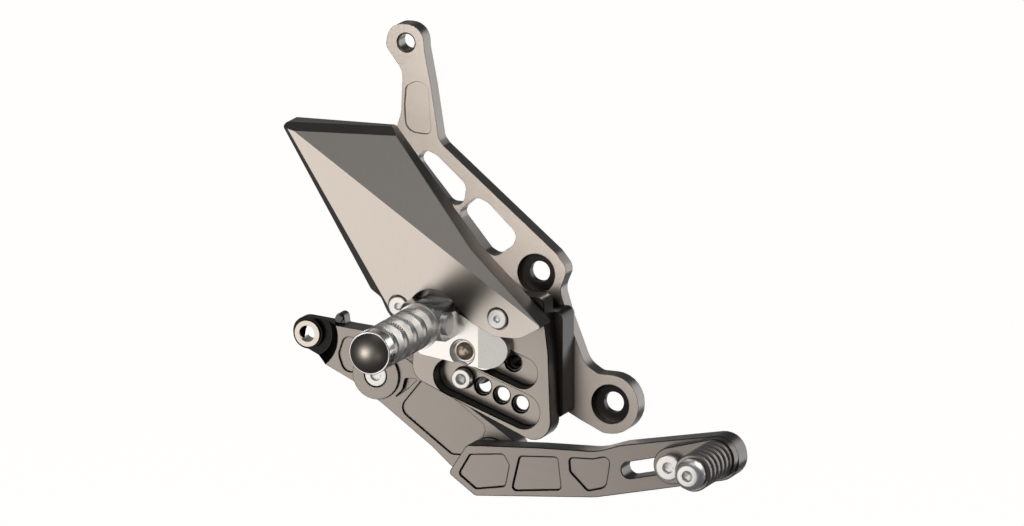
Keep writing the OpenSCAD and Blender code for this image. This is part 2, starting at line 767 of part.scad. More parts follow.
arm_outline = [[-75, -35.6, 2], [-65.4, -20.6, 3], [-26.4, -18.4, 60], [3, -17.6, 30],
    [16, -13.2, 30], from(toe_peg_at, 7.8, 12, toe_end_r), from(toe_peg_at, 12.1, -9.6, toe_end_r),
    from(toe_peg_at, -20, -16.7, 60), [2.5, -40.8, 40], [-61, -45.8, 3]];
arm_pockets = [
    [[-69.6, -35.4, 2], [-63.6, -25.2, 2], [-46, -23.4, 2], [-42.8, -28.6, 2], [-45, -39.6, 2],
        [-60.4, -42.2, 2]],
    [[-37.4, -23.7, 2], [-17.4, -22.3, 2], [-15.4, -38.6, 2], [-41.6, -41.4, 2]],
    [[-11.4, -22, 2], [1, -21.6, 4], [10.6, -19, 3], [8, -35.2, 4], [-1.6, -37.8, 2],
        [-10.8, -29, 2]]
];
arm_screw_at = [arm_joint + [-5.5, 2], arm_joint + [8.5, -1]];

module toe_arm()
    color(black)
        difference() {
            raised(arm_back, arm_t)
                polygon(rounded(arm_outline));
            for (p = arm_pockets)
                raised(arm_front - 0.9, 2)
                    polygon(rounded(p));
            raised(arm_back - 1, arm_t + 2)
                link(slot_start, slot_w / 2, slot_start + slot_len * toe_dir, slot_w / 2);
            for (at = arm_screw_at)
                round_bar(at, arm_back - 1, 10, m6_r);
        }

module arm_screws()
    color(steel)
        for (at = arm_screw_at)
            translate([0, -2 * (crank_back + m6_button_h + 0.4), 0])
                mirror([0, 1, 0])
                    button_screw(at, crank_back + m6_button_h + 0.4 - 16,
                        crank_back + m6_button_h + 0.4, m6_r - run_gap, m6_button_r,
                        m6_button_h);

block_t = 6;
nut_t = 6;
block_front = arm_front + block_t;

module toe_block()
    color(black)
        difference() {
            raised(arm_front, block_t)
                link(block_screw_at, 9.2, toe_peg_at, 10.1);
            round_bar(block_screw_at, arm_front - 1, block_t + 2, m8_clear_r);
            round_bar(toe_peg_at, arm_front - 1, block_t + 2, m8_r);
        }

module block_screw()
    color(silver)
        cap_screw(block_screw_at, arm_back - nut_t, block_front + m8_head_h, m8_r - run_gap,
            m8_head_r - 0.2, m8_head_h);

module slot_nut()
    color(steel)
        difference() {
            raised(arm_back - nut_t, nut_t)
                link(block_screw_at - 3 * toe_dir, 7, block_screw_at + 3 * toe_dir, 7);
            round_bar(block_screw_at, arm_back - nut_t - 1, nut_t + 2, m8_r);
        }

rib_pitch = toe_peg_len / rib_count;

module toe_peg()
    color(black)
        translate([toe_peg_at[0], -block_front, toe_peg_at[1]])
            rotate([90, 0, 0])
                difference() {
                    union() {
                        cylinder(h = toe_peg_len, r = toe_peg_d / 2 - 1.7);
                        for (i = [0 : rib_count - 1])
                            translate([0, 0, i * rib_pitch])
                                toe_rib();
                    }
                    translate([0, 0, -1])
                        cylinder(h = toe_peg_len + 2, r = m8_clear_r);
                }

module toe_rib() {
    r = toe_peg_d / 2;
    wide = rib_pitch * 0.62;
    cylinder(h = 0.6, r1 = r - 0.6, r2 = r);
    translate([0, 0, 0.6 - eps])
        cylinder(h = wide - 1.2 + 2 * eps, r = r);
    translate([0, 0, wide - 0.6])
        cylinder(h = 0.6, r1 = r, r2 = r - 0.6);
}

module toe_peg_screw()
    color(silver)
        button_screw(toe_peg_at, arm_front + 0.4, block_front + toe_peg_len, m8_r - run_gap,
            7.6, 5.2);

frame_bracket();
adjuster_plate();
plate_screw();
heel_guard();
guard_screws();
peg_mount();
mount_bolt();
hinge_pin();
hinge_circlip();
peg_tongue();
peg_barrel();
peg_bolt();
peg_cap();
peg_spring();
stop_sleeve();
stop_screw();
pivot_bolt();
lever_crank();
pivot_bush();
return_spring();
pushrod_bush();
spring_stud();
toe_arm();
arm_screws();
toe_block();
block_screw();
slot_nut();
toe_peg();
toe_peg_screw();
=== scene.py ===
# %% [markdown]
# # A motorcycle rear set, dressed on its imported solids
#
# The part is a billet bracket with an adjuster plate, a folding foot peg, a creased heel guard
# and a brake lever. Its solids come ready in the frame, at their real size and place, and this
# script gives them their finish. Where a solid is too plain for a close look, a finer piece
# made here stands for it.

# %% Load the frame
from math import atan2, cos, hypot, pi, radians, sin, tau
import bmesh
import bpy
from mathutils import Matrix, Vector


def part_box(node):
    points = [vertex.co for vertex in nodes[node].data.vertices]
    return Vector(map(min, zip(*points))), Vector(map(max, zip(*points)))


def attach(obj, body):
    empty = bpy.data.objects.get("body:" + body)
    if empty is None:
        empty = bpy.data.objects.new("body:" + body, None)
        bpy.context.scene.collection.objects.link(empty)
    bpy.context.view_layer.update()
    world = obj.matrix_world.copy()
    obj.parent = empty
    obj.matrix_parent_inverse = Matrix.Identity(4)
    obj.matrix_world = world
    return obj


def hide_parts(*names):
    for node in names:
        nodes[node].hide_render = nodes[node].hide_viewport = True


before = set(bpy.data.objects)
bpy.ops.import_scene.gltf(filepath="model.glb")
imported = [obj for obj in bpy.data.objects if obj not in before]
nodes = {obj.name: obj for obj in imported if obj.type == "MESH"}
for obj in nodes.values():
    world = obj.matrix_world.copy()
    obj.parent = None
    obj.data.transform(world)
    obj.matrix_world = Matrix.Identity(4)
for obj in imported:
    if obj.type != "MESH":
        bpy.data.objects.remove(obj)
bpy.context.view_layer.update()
MM, MICRON = 0.001, 1e-6

# %% [markdown]
# ## The camera
#
# The photograph was taken with a long lens from the front of the machine and a little above, so
# parallel edges stay parallel. A camera several metres away with a very long focal length gives
# the same flat perspective. It looks at the middle of the part.

# %% Place the camera
VIEW_AROUND = radians(22)
VIEW_ABOVE = radians(13)
CAMERA_DISTANCE = 6.5
LOOK_AT = Vector((-0.0433, -0.030, 0.0717))
FOCAL_LENGTH = 468.5
FARTHEST_SEEN = 100

towards_camera = Vector((sin(VIEW_AROUND) * cos(VIEW_ABOVE),
                         -cos(VIEW_AROUND) * cos(VIEW_ABOVE), sin(VIEW_ABOVE)))


def aim(thing, place, target):
    """Puts a camera or a light at a place and turns it to a target."""
    thing.location = place
    thing.rotation_euler = (target - place).to_track_quat("-Z", "Y").to_euler()


camera = bpy.data.objects.new("camera", bpy.data.cameras.new("camera"))
camera.data.lens = FOCAL_LENGTH
camera.data.clip_end = FARTHEST_SEEN
bpy.context.scene.collection.objects.link(camera)
aim(camera, LOOK_AT + CAMERA_DISTANCE * towards_camera, LOOK_AT)
bpy.context.scene.camera = camera
print("camera at", tuple(round(v, 3) for v in camera.location))

# %% [markdown]
# ## Floor and light
#
# The photograph is a bright one: its background is almost white and nothing on the part is tinted.
# The Standard view shows a value of one as pure white, so a floor that shines at just under one
# gives that background. It lies well below the part, to leave room for the light that comes from
# below, and metal doesn't mirror it: a studio keeps the table out of the reflections too.

# %% Make the floor
bpy.context.scene.view_settings.view_transform = "Standard"
FLOOR_LEVEL = -0.60
FLOOR_RADIUS = 12.0
FLOOR_TONE, FLOOR_GLOW_TINT = (0.25, 0.245, 0.24, 1), (1.0, 0.985, 0.975, 1)
FLOOR_GLOW = 0.97


def new_object(name, mesh):
    """Links a new object with this mesh to the scene."""
    piece = bpy.data.objects.new(name, mesh)
    bpy.context.scene.collection.objects.link(piece)
    return piece


def mesh_from(shape, name):
    """Writes a bmesh into a new mesh and frees it."""
    mesh = bpy.data.meshes.new(name)
    shape.to_mesh(mesh)
    shape.free()
    return mesh


disc = bmesh.new()
bmesh.ops.create_circle(disc, cap_ends=True, segments=64, radius=FLOOR_RADIUS)
bmesh.ops.translate(disc, verts=disc.verts, vec=(0, 0, FLOOR_LEVEL))
floor = new_object("floor", mesh_from(disc, "floor"))
floor.visible_glossy = False

floor_finish = bpy.data.materials.new("pale floor")
floor_finish.use_nodes = True
floor_shader = floor_finish.node_tree.nodes["Principled BSDF"]
floor_shader.inputs["Base Color"].default_value = FLOOR_TONE
floor_shader.inputs["Roughness"].default_value = 0.9
floor_shader.inputs["Specular IOR Level"].default_value = 0.1
floor_shader.inputs["Emission Color"].default_value = FLOOR_GLOW_TINT
floor_shader.inputs["Emission Strength"].default_value = FLOOR_GLOW
floor.data.materials.append(floor_finish)
print("floor at", FLOOR_LEVEL, "m")

# %% [markdown]
# Bare metal shows what stands round it. Seen from the camera, the flat outboard faces mirror what
# is low on the left, so one wide card of light hangs there and turns them into an even satin grey.
# Its upper right edge is placed so that the guard's upper facet only just misses it, which is what
# makes the crease stand out. Walls that are square to the bracket mirror what is behind the part: a
# weaker card far back on the right lights the rims, and the sheet of paper behind a product shows
# along every outline that curves away. The bracket, the silver pieces and the cap have cards of
# their own, and near the end of this script each of those is kept off the other pieces. The rest
# stays nearly black. A light's power spreads over its area, so each card is given by its
# brightness instead.

# %% Hang the cards of light


def card(name, around, above, distance, width, height, brightness, tint=(1, 1, 1)):
    """A rectangular light that faces the part. Its place is a direction in degrees, round the
    part and above it, and a distance in metres."""
    a, e = radians(around), radians(above)
    place = LOOK_AT + distance * Vector((sin(a) * cos(e), -cos(a) * cos(e), sin(e)))
    data = bpy.data.lights.new(name, "AREA")
    data.shape = "RECTANGLE"
    data.size = width
    data.size_y = height
    data.energy = brightness * pi * width * height
    data.color = tint
    light = bpy.data.objects.new(name, data)
    bpy.context.scene.collection.objects.link(light)
    aim(light, place, LOOK_AT)
    light.visible_camera = False
    return light


WARM = (1.0, 0.945, 0.895)
key = card("key", around=-46, above=-18, distance=1.30, width=1.25,
           height=1.00, brightness=4.9, tint=WARM)
bracket_near = card("bracket near", around=1, above=9, distance=0.50, width=0.28,
                    height=0.30, brightness=24.0, tint=WARM)
bracket_high = card("bracket high", around=-14, above=9, distance=1.30, width=0.70,
                    height=0.60, brightness=10.2, tint=WARM)
cap_spot = card("cap spot", around=-24, above=-3, distance=1.30, width=0.55,
                height=0.55, brightness=18.0, tint=WARM)
silver_key = card("silver key", around=-32, above=-14, distance=1.30, width=1.25,
                  height=1.10, brightness=1.15, tint=WARM)
over_the_shoulder = card("over the shoulder", around=132, above=40, distance=1.3, width=0.8,
                         height=0.6, brightness=5.0, tint=WARM)
back_right = card("back right", around=155, above=0, distance=1.5, width=0.60,
                  height=1.1, brightness=2.2)
card("paper behind", around=200, above=-15, distance=1.5, width=1.10,
     height=0.75, brightness=1.3)
silver_front = card("silver front", around=26, above=-10, distance=1.30, width=0.50,
                    height=0.50, brightness=0.8, tint=WARM)
right_front = card("right front", around=32, above=-15, distance=1.2, width=0.35,
                   height=0.50, brightness=2.1, tint=WARM)
card("front fill", around=-2, above=9, distance=1.5, width=0.70,
     height=0.60, brightness=1.5)
card("overhead", around=60, above=74, distance=1.4, width=1.0,
     height=0.8, brightness=0.8)
card("back left", around=-150, above=38, distance=1.6, width=0.6,
     height=0.5, brightness=1.2)
print("cards of light:", len(bpy.data.lights))

# %% [markdown]
# The world is dim as a light, so that what misses the cards stays dark. Seen by the camera it is as
# pale as the floor, which gives every view the same plain background.

# %% Make the world
PALE, DIM = (0.975, 0.962, 0.952, 1), (0.115, 0.12, 0.125, 1)
world = bpy.data.worlds.new("dim studio")
bpy.context.scene.world = world
world.use_nodes = True
sky = world.node_tree
seen_directly = sky.nodes.new("ShaderNodeLightPath")
choice = sky.nodes.new("ShaderNodeMix")
choice.data_type = "RGBA"
choice.inputs["A"].default_value, choice.inputs["B"].default_value = DIM, PALE
sky.links.new(seen_directly.outputs["Is Camera Ray"], choice.inputs["Factor"])
sky.links.new(choice.outputs["Result"], sky.nodes["Background"].inputs["Color"])

# %% [markdown]
# ## Shared surface effects
#
# Every finish here comes from a tool: a cutter leaves fine lines along its path, a lathe leaves
# rings, blasting and anodising leave a fine grain, and handling leaves smudges. Each of these is
# one node group with its own sockets, so that several materials can use it with their own values.

# %% Helpers for node trees


def add(tree, kind, place=(0, 0), **settings):
    """Adds a node and sets its plain properties."""
    item = tree.nodes.new(kind)
    item.location = place
    for name, value in settings.items():
        setattr(item, name, value)
    return item


def calc(tree, operation, first, second=None, third=None):
    """A Math node whose inputs are sockets or numbers, as its output socket."""
    item = add(tree, "ShaderNodeMath", operation=operation)
    for socket, value in zip(item.inputs, (first, second, third)):
        if value is None:
            continue
        if hasattr(value, "is_output"):
            tree.links.new(value, socket)
        else:
            socket.default_value = value
    return item.outputs[0]


def new_group(name, inputs, outputs):
    """A shader node group: inputs are (name, type, default), outputs are (name, type)."""
    group = bpy.data.node_groups.new(name, "ShaderNodeTree")
    for label, kind, default in inputs:
        socket = group.interface.new_socket(name=label, in_out="INPUT", socket_type=kind)
        if default is not None:
            socket.default_value = default
    for label, kind in outputs:
        group.interface.new_socket(name=label, in_out="OUTPUT", socket_type=kind)
    given = add(group, "NodeGroupInput", (-900, 0))
    result = add(group, "NodeGroupOutput", (500, 0))
    return group, given.outputs, result.inputs


NUMBER, PLACE = "NodeSocketFloat", "NodeSocketVector"
print("helpers: add, calc and new_group")

# %% [markdown]
# Anodising keeps the fine pits that blasting left in the aluminium. Two noises give it: a fine one
# for the pits, and a broad one for the slight cloudiness of a surface that has been handled.

# %% The grain group
grain, given, result = new_group(
    "fine grain",
    [("Place", PLACE, None), ("Pit size mm", NUMBER, 0.35), ("Cloud size mm", NUMBER, 22.0)],
    [("Pits", NUMBER), ("Clouds", NUMBER)])
for size, out, detail in (("Pit size mm", "Pits", 2.0), ("Cloud size mm", "Clouds", 4.0)):
    noise = add(grain, "ShaderNodeTexNoise", (-200, 0))
    noise.inputs["Detail"].default_value = detail
    grain.links.new(given["Place"], noise.inputs["Vector"])
    grain.links.new(calc(grain, "DIVIDE", 1 / MM, given[size]), noise.inputs["Scale"])
    grain.links.new(noise.outputs["Fac"], result[out])
print("group:", grain.name)

# %% [markdown]
# A brushed face is a noise stretched along one direction. The Mapping node turns it about the Y
# axis, because the faces to be brushed all look outboard, and then it is drawn out along Z. A
# broader copy of the same noise gives the streaks that a worn brush leaves.

# %% The brushing group
DRAWN_OUT = (1.0, 1.0, 0.02)
STREAK_FINENESS = 0.12
brushing, given, result = new_group(
    "brushed lines",
    [("Place", PLACE, None), ("Turn", PLACE, (0, 0, 0)), ("Line width mm", NUMBER, 0.25)],
    [("Lines", NUMBER), ("Streaks", NUMBER)])
turned = add(brushing, "ShaderNodeMapping", (-700, 0), vector_type="POINT")
brushing.links.new(given["Place"], turned.inputs["Vector"])
brushing.links.new(given["Turn"], turned.inputs["Rotation"])
drawn_out = add(brushing, "ShaderNodeVectorMath", (-500, 0), operation="MULTIPLY")
drawn_out.inputs[1].default_value = DRAWN_OUT
brushing.links.new(turned.outputs["Vector"], drawn_out.inputs[0])
for fineness, out in ((1.0, "Lines"), (STREAK_FINENESS, "Streaks")):
    noise = add(brushing, "ShaderNodeTexNoise", (-200, 0))
    noise.inputs["Detail"].default_value = 3.0
    brushing.links.new(drawn_out.outputs["Vector"], noise.inputs["Vector"])
    brushing.links.new(calc(brushing, "DIVIDE", fineness / MM, given["Line width mm"]),
                       noise.inputs["Scale"])
    brushing.links.new(noise.outputs["Fac"], result[out])
print("group:", brushing.name)

# %% [markdown]
# A facing cut or a lathe leaves rings about the axis of the tool. Their distance from the axis goes
# into a sine, and a little noise keeps the rings from looking printed.

# %% The turned rings group
ACROSS_THE_AXIS = (1, 0, 1)
WOBBLE_SCALE, WOBBLE = 300, 3.0
rings, given, result = new_group(
    "turned rings",
    [("Place", PLACE, None), ("Axis", PLACE, (0, 0, 0)), ("Pitch mm", NUMBER, 0.4)],
    [("Rings", NUMBER)])
from_axis = add(rings, "ShaderNodeVectorMath", (-700, 0), operation="SUBTRACT")
rings.links.new(given["Place"], from_axis.inputs[0])
rings.links.new(given["Axis"], from_axis.inputs[1])
in_plane = add(rings, "ShaderNodeVectorMath", (-550, 0), operation="MULTIPLY")
in_plane.inputs[1].default_value = ACROSS_THE_AXIS
rings.links.new(from_axis.outputs["Vector"], in_plane.inputs[0])
radius = add(rings, "ShaderNodeVectorMath", (-400, 0), operation="LENGTH")
rings.links.new(in_plane.outputs["Vector"], radius.inputs[0])
wobble = add(rings, "ShaderNodeTexNoise", (-400, -200))
wobble.inputs["Scale"].default_value = WOBBLE_SCALE
rings.links.new(from_axis.outputs["Vector"], wobble.inputs["Vector"])
turns = calc(rings, "MULTIPLY", radius.outputs["Value"],
             calc(rings, "DIVIDE", tau / MM, given["Pitch mm"]))
turns = calc(rings, "ADD", turns, calc(rings, "MULTIPLY", wobble.outputs["Fac"], WOBBLE))
rings.links.new(calc(rings, "MULTIPLY_ADD", calc(rings, "SINE", turns), 0.5, 0.5),
                result["Rings"])
print("group:", rings.name)

# %% [markdown]
# Along an edge the colour differs from the face's. On the black pieces a near black line is painted
# along the edges as painted shade, for the dark that a chamfer mirrors, and a grip's edge is rubbed
# bright. A Bevel node gives the normal of a rounded edge, and where it differs from the true one,
# there is an edge. Noise breaks the line up a little, and the strength says how much of a
# difference already counts as a whole edge.

# %% The edge line group
PATCH_SCALE = 260
edges, given, result = new_group(
    "edge line",
    [("Place", PLACE, None), ("Width mm", NUMBER, 0.5), ("Patchy", NUMBER, 0.5),
     ("Strength", NUMBER, 9.0)],
    [("Edge", NUMBER)])
rounded_normal = add(edges, "ShaderNodeBevel", (-600, 0), samples=4)
edges.links.new(calc(edges, "MULTIPLY", given["Width mm"], MM), rounded_normal.inputs["Radius"])
true_normal = add(edges, "ShaderNodeNewGeometry", (-600, -200))
alike = add(edges, "ShaderNodeVectorMath", (-400, 0), operation="DOT_PRODUCT")
edges.links.new(rounded_normal.outputs["Normal"], alike.inputs[0])
edges.links.new(true_normal.outputs["Normal"], alike.inputs[1])
patches = add(edges, "ShaderNodeTexNoise", (-600, -400))
patches.inputs["Scale"].default_value = PATCH_SCALE
patches.inputs["Detail"].default_value = 4
edges.links.new(given["Place"], patches.inputs["Vector"])
edge = calc(edges, "MULTIPLY", calc(edges, "SUBTRACT", 1.0, alike.outputs["Value"]),
            given["Strength"])
kept = calc(edges, "MULTIPLY", patches.outputs["Fac"], given["Patchy"])
clear_edge = calc(edges, "MAXIMUM", calc(edges, "SUBTRACT", edge, kept), 0.0)
edges.links.new(calc(edges, "MINIMUM", clear_edge, 1.0), result["Edge"])
print("group:", edges.name)

# %% [markdown]
# The floors of the bolt recesses are coloured near black as painted shade. Their mask is one
# inside a radius round an axis across the bracket, and only nearer to its inner face than a level.

# %% The recess group
recess, given, result = new_group(
    "recess floor",
    [("Place", PLACE, None), ("Axis", PLACE, (0, 0, 0)), ("Radius mm", NUMBER, 10.0),
     ("Level mm", NUMBER, 5.0)],
    [("Inside", NUMBER)])
from_axis = add(recess, "ShaderNodeVectorMath", (-700, 0), operation="SUBTRACT")
recess.links.new(given["Place"], from_axis.inputs[0])
recess.links.new(given["Axis"], from_axis.inputs[1])
parts = add(recess, "ShaderNodeSeparateXYZ", (-550, -200))
recess.links.new(from_axis.outputs["Vector"], parts.inputs[0])
flat = add(recess, "ShaderNodeCombineXYZ", (-400, -200))
recess.links.new(parts.outputs["X"], flat.inputs["X"])
recess.links.new(parts.outputs["Z"], flat.inputs["Z"])
reach = add(recess, "ShaderNodeVectorMath", (-250, 0), operation="LENGTH")
recess.links.new(flat.outputs["Vector"], reach.inputs[0])
near = calc(recess, "LESS_THAN", reach.outputs["Value"],
            calc(recess, "MULTIPLY", given["Radius mm"], MM))
deep = calc(recess, "GREATER_THAN", parts.outputs["Y"],
            calc(recess, "MULTIPLY", given["Level mm"], -MM))
recess.links.new(calc(recess, "MULTIPLY", near, deep), result["Inside"])
print("group:", recess.name)

# %% [markdown]
# ## Finishes
#
# The finishes share one recipe: a base colour that mixes two tones by a mask, a roughness that
# follows the grain, and a bump that gives the cutter's lines their depth. Only the values differ.
# Over the two tones come, where a finish asks for them, a line along the edges, which is painted
# shade where it is dark, and a near black of painted shade on the recess floors and on all that
# stands further out than a level.

# %% The recipe for a finish
PATTERN_SHARE = 0.6
PIT_SIZE_MM, CLOUD_SIZE_MM, PIT_DEPTH_UM = 0.3, 25.0, 4.0
EDGE_PATCHINESS = 0.3


def place_group(tree, group, place, **values):
    """Places a group in a material, with object coordinates as its Place."""
    item = add(tree, "ShaderNodeGroup", place, node_tree=group)
    for label, value in values.items():
        item.inputs[label.replace("_", " ")].default_value = value
    tree.links.new(tree.nodes["Texture Coordinate"].outputs["Object"], item.inputs["Place"])
    return item


def blend_colour(tree, mask, dark, light):
    """Mixes two colours, or a colour socket and a colour, by a mask."""
    mix = add(tree, "ShaderNodeMix", data_type="RGBA")
    tree.links.new(mask, mix.inputs["Factor"])
    for socket, value in ((mix.inputs["A"], dark), (mix.inputs["B"], light)):
        if hasattr(value, "is_output"):
            tree.links.new(value, socket)
        else:
            socket.default_value = (*value, 1)
    return mix.outputs["Result"]


def finish(name, dark, light, rough, rough_change, pattern, bump_um, metallic=1.0,
           edge=None, edge_share=0.0, edge_mm=0.4, edge_strength=9.0, recesses=(), shaded_land_mm=None):
    """A finish. pattern is a function that returns its mask socket from the tree."""
    material = bpy.data.materials.new(name)
    material.use_nodes = True
    tree = material.node_tree
    shader = tree.nodes["Principled BSDF"]
    add(tree, "ShaderNodeTexCoord", (-1200, 0))
    shader.inputs["Metallic"].default_value = metallic
    mask = pattern(tree)
    skin = place_group(tree, grain, (-900, -300), Pit_size_mm=PIT_SIZE_MM,
                       Cloud_size_mm=CLOUD_SIZE_MM)
    cloudy = calc(tree, "MULTIPLY", skin.outputs["Clouds"], 1 - PATTERN_SHARE)
    tone = blend_colour(tree, calc(tree, "MULTIPLY_ADD", mask, PATTERN_SHARE, cloudy), dark, light)
    # A dark edge colour is painted shade along the edges; a light one is rubbed wear.
    if edge:
        line = place_group(tree, edges, (-900, -600), Width_mm=edge_mm,
                           Patchy=EDGE_PATCHINESS, Strength=edge_strength)
        tone = blend_colour(tree, calc(tree, "MULTIPLY", line.outputs["Edge"], edge_share),
                            tone, edge)
    # Painted shade: the recess floors are coloured near black.
    for x, z, radius, level in recesses:
        cut = place_group(tree, recess, (-900, -900), Axis=(x * MM, 0, z * MM),
                          Radius_mm=radius, Level_mm=level)
        tone = blend_colour(tree, cut.outputs["Inside"], tone, PAINTED_SHADE_BLACK)
    # Painted shade: all that stands further out than the level is coloured near black.
    if shaded_land_mm:
        parts = add(tree, "ShaderNodeSeparateXYZ", (-900, -1200))
        tree.links.new(tree.nodes["Texture Coordinate"].outputs["Object"], parts.inputs[0])
        forward = calc(tree, "LESS_THAN", parts.outputs["Y"], -shaded_land_mm * MM)
        tone = blend_colour(tree, forward, tone, PAINTED_SHADE_BLACK)
    tree.links.new(tone, shader.inputs["Base Color"])
    uneven = calc(tree, "MULTIPLY_ADD", mask, rough_change,
                  calc(tree, "MULTIPLY_ADD", skin.outputs["Clouds"], rough_change,
                       rough - rough_change))
    tree.links.new(uneven, shader.inputs["Roughness"])
    height = calc(tree, "MULTIPLY_ADD", mask, bump_um,
                  calc(tree, "MULTIPLY", skin.outputs["Pits"], PIT_DEPTH_UM))
    bump = add(tree, "ShaderNodeBump", (-200, -400))
    bump.inputs["Strength"].default_value = 1.0
    bump.inputs["Distance"].default_value = MICRON
    tree.links.new(height, bump.inputs["Height"])
    tree.links.new(bump.outputs["Normal"], shader.inputs["Normal"])
    return material


def brushed(angle, width):
    """A mask of lines at an angle from upright, in degrees."""
    def pattern(tree):
        lines = place_group(tree, brushing, (-900, 0), Turn=(0, radians(angle), 0),
                            Line_width_mm=width)
        return calc(tree, "MULTIPLY_ADD", lines.outputs["Lines"], PATTERN_SHARE,
                    calc(tree, "MULTIPLY", lines.outputs["Streaks"], 1 - PATTERN_SHARE))
    return pattern


def turned_about(x, z, pitch):
    """A mask of rings about an axis across the bracket, at x and z in millimetres."""
    def pattern(tree):
        return place_group(tree, rings, (-900, 0), Axis=(x * MM, 0, z * MM),
                           Pitch_mm=pitch).outputs["Rings"]
    return pattern


def blasted(tree):
    """A mask with no direction, for blasted and moulded surfaces."""
    return place_group(tree, grain, (-900, 200), Pit_size_mm=0.8).outputs["Pits"]


print("recipe ready")

# %% [markdown]
# ### Black anodised aluminium
#
# The colour sits in the oxide, which is nearly black, but the satin metal under it still throws
# the light back. A dark metallic base does that: its faces turn grey where they mirror the
# light, and black where they don't. The bracket's recesses and the land that carries the plate
# are painted near black throughout, as painted shade, and so is a line along the edges of the black
# pieces. The edges of the toe peg's ribs are rubbed bright. Its turned rings and
# the cap's run round their own axes, which are given in millimetres, as x and z.

# %% Black anodised finishes
PEG, TOE_PEG, PUSHROD_EYE = (-77.9, 45), (67.3, -14.3), (-156.5, 23.9)
FRAME_BOLTS = [(0, 0), (-39, 62.3)]
BOLT_RECESS_R, BOLT_RECESS_FLOOR, EYE_RECESS_R, EYE_RECESS_FLOOR = 9.95, 4.5, 17.4, 21.8
LAND_BEYOND = 9.3
BARE_EDGE = (0.42, 0.40, 0.38)
# A near black for painted shade, on edges, recess floors and the bracket's land.
PAINTED_SHADE_BLACK = (0.008, 0.0075, 0.007)
anodised = finish("black anodised", (0.150, 0.138, 0.126), (0.205, 0.188, 0.172),
                  rough=0.34, rough_change=0.05, pattern=blasted, bump_um=2.0,
                  edge=PAINTED_SHADE_BLACK, edge_share=0.8, edge_mm=0.6,
                  recesses=[(x, z, BOLT_RECESS_R, BOLT_RECESS_FLOOR) for x, z in FRAME_BOLTS],
                  shaded_land_mm=LAND_BEYOND)
anodised_plate = finish("black anodised plate", (0.125, 0.115, 0.105), (0.165, 0.153, 0.142),
                        rough=0.32, rough_change=0.05, pattern=brushed(70, 0.22), bump_um=2.0,
                        edge=PAINTED_SHADE_BLACK, edge_share=0.8, edge_mm=0.6)
anodised_lever = finish("black anodised lever", (0.10, 0.093, 0.086), (0.145, 0.134, 0.125),
                        rough=0.36, rough_change=0.06, pattern=brushed(83, 0.3), bump_um=2.5,
                        edge=PAINTED_SHADE_BLACK, edge_share=0.85, edge_mm=0.7, edge_strength=30.0,
                        recesses=[(*PUSHROD_EYE, EYE_RECESS_R, EYE_RECESS_FLOOR)])
anodised_guard = finish("brushed anodised guard", (0.145, 0.135, 0.125), (0.20, 0.186, 0.172),
                        rough=0.33, rough_change=0.07, pattern=brushed(0, 0.16), bump_um=3.0,
                        edge=PAINTED_SHADE_BLACK, edge_share=0.9, edge_mm=0.7)
# The finish of the bevelled edges: near black painted shade.
painted_shade_edge = finish("painted shade black edge", (0.012, 0.011, 0.010), (0.024, 0.022, 0.020),
                   rough=0.35, rough_change=0.05, pattern=blasted, bump_um=1.0)
toe_grip = finish("black anodised toe peg", (0.16, 0.15, 0.14), (0.26, 0.24, 0.22),
                  rough=0.45, rough_change=0.08, pattern=turned_about(*TOE_PEG, 0.35),
                  bump_um=3.0, edge=BARE_EDGE, edge_share=0.5)
cap_black = finish("satin black cap", (0.120, 0.110, 0.101), (0.165, 0.152, 0.140),
                   rough=0.44, rough_change=0.05, pattern=turned_about(*PEG, 0.25), bump_um=1.2)
print("the bracket's finish:", anodised.name)

# %% [markdown]
# ### Bare metals
#
# The clevis and the foot peg are bare aluminium straight from the mill and the lathe, bright but
# with cutter marks, and the knurl is duller than the turned metal beside it. The screws are plated
# steel with a softer shine. The springs, the stud, the two bushes and the rubber sleeve follow the
# same recipe.

# %% Bare finishes
MOUNT_BOLT = (-62.9, 28.6)
milled = finish("milled aluminium", (0.74, 0.73, 0.70), (0.93, 0.92, 0.90),
                rough=0.26, rough_change=0.08, pattern=brushed(110, 0.3), bump_um=4.0)
lathe_bright = finish("turned aluminium", (0.72, 0.71, 0.68), (0.92, 0.91, 0.89),
                      rough=0.2, rough_change=0.06, pattern=turned_about(*PEG, 0.3), bump_um=2.0)
knurled = finish("knurled aluminium", (0.66, 0.64, 0.61), (0.90, 0.88, 0.85),
                 rough=0.38, rough_change=0.1, pattern=turned_about(*PEG, 0.3), bump_um=2.0)
plated = finish("plated steel", (0.76, 0.75, 0.73), (0.95, 0.94, 0.92),
                rough=0.4, rough_change=0.06, pattern=blasted, bump_um=3.0)
mount_bolt_steel = finish("straw coloured steel", (0.34, 0.27, 0.20), (0.55, 0.46, 0.37),
                          rough=0.28, rough_change=0.06, bump_um=2.0,
                          pattern=turned_about(*MOUNT_BOLT, 0.3))
spring_steel = finish("spring steel", (0.30, 0.30, 0.30), (0.55, 0.55, 0.55),
                      rough=0.3, rough_change=0.06, pattern=blasted, bump_um=2.0)
black_steel = finish("blackened steel", (0.02, 0.02, 0.02), (0.06, 0.06, 0.06), metallic=0.9,
                     rough=0.4, rough_change=0.06, pattern=blasted, bump_um=3.0)
bronze = finish("bearing bronze", (0.58, 0.52, 0.45), (0.80, 0.75, 0.69),
                rough=0.3, rough_change=0.08, pattern=turned_about(*PUSHROD_EYE, 0.25),
                bump_um=2.0)
rubber = finish("black rubber", (0.012, 0.012, 0.012), (0.03, 0.03, 0.03), metallic=0.0,
                rough=0.7, rough_change=0.1, pattern=blasted, bump_um=8.0)
print("finishes:", [m.name for m in bpy.data.materials])

